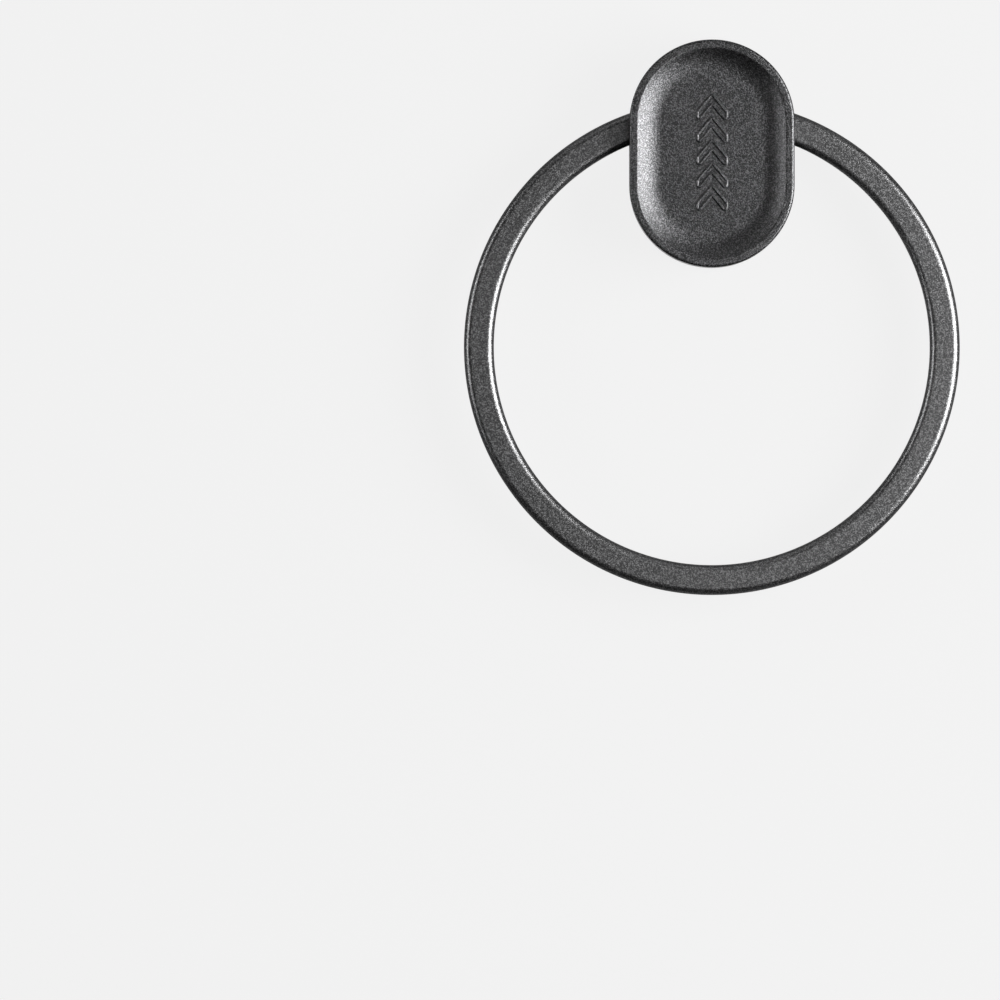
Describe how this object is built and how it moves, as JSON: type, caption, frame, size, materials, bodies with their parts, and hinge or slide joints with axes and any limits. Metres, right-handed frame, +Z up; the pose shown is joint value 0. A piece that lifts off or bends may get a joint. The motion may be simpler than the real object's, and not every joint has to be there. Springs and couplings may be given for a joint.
{
  "type": "quick release key ring",
  "caption": "Open round key ring that turns through an oval thumb clasp; pulling the clasp outwards unlocks it so the ring's gap can come out beside it.",
  "frame": {"origin": "centre of the closed key ring's bounding box, on the table under it", "axes": "+Z up through the thickness, front dish on top; +Y from the ring's centre to the clasp; +X to the right"},
  "size_m": [0.034, 0.038, 0.0064],
  "materials": {
    "shell": "fine bead-blasted black coating",
    "ring": "fine bead-blasted black coating on steel",
    "spring_steel": "bright drawn",
    "pin_steel": "ground",
    "guide": "moulded acetal"
  },
  "bodies": {
    "clasp": {"front_shell": "shell", "back_shell": "shell", "lock_spring": "spring_steel", "return_spring_left": "spring_steel", "return_spring_right": "spring_steel", "pin_outer_left": "pin_steel", "pin_outer_right": "pin_steel", "pin_inner_left": "pin_steel", "pin_inner_right": "pin_steel"},
    "guide": {"ring_guide": "guide"},
    "ring": {"split_ring": "ring"}
  },
  "joints": [
    {"name": "ring_push", "type": "slide", "parent": "clasp", "child": "guide", "axis": [0, -1, 0], "range_m": [0, 0.0037], "stiffness_N_per_m": 700, "springref_m": -0.0015, "deforming": ["return_spring_left", "return_spring_right"]},
    {"name": "ring_spin", "type": "hinge", "parent": "guide", "child": "ring", "pos_m": [0, -0.00202, 0.0032], "axis": [0, 0, 1], "continuous": true, "deforming": ["lock_spring"]}
  ]
}
